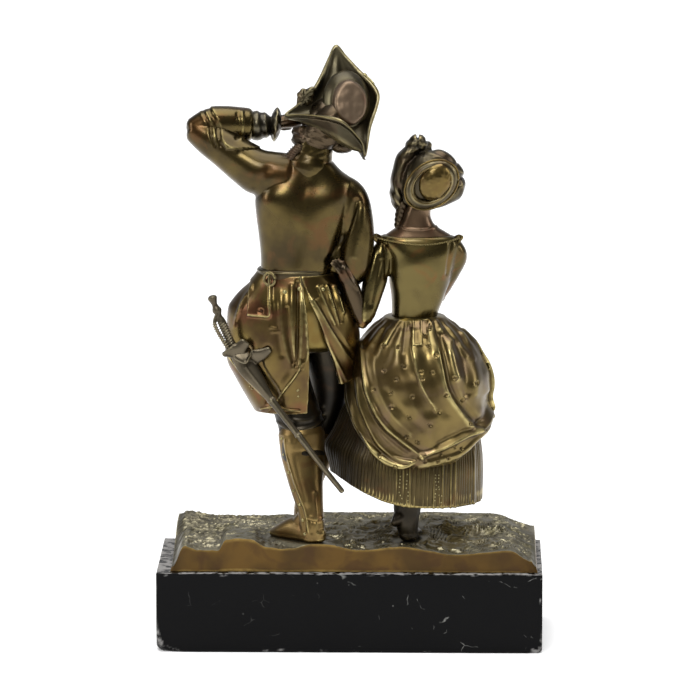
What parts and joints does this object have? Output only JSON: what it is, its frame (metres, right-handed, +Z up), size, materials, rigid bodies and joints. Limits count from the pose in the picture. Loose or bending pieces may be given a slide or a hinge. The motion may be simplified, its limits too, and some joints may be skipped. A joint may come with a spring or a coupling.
{
  "type": "bronze couple sculpture",
  "caption": "Bronze statuette of a man in a cocked hat and a lady in a bonnet walking away arm in arm, on a cast rocky ground and a black marble block.",
  "frame": {"origin": "middle of the marble block's underside", "axes": "+Z up, +X towards the lady's side, -Y towards the figures' backs, which is the side the picture shows"},
  "size_m": [0.2048, 0.09, 0.3175],
  "materials": {
    "marble": "polished black marble with worn edges and fine pale scratches",
    "ground_bronze": "chased bronze, golden brown cut sides and a grey patina on top",
    "figure_bronze": "olive brown patinated bronze rubbed to gold on its raised edges",
    "sword_bronze": "grey brown patinated bronze"
  },
  "bodies": {
    "root": {"marble_block": "marble", "bronze_ground": "ground_bronze", "bronze_couple": "figure_bronze", "bronze_sword": "sword_bronze"}
  },
  "joints": []
}
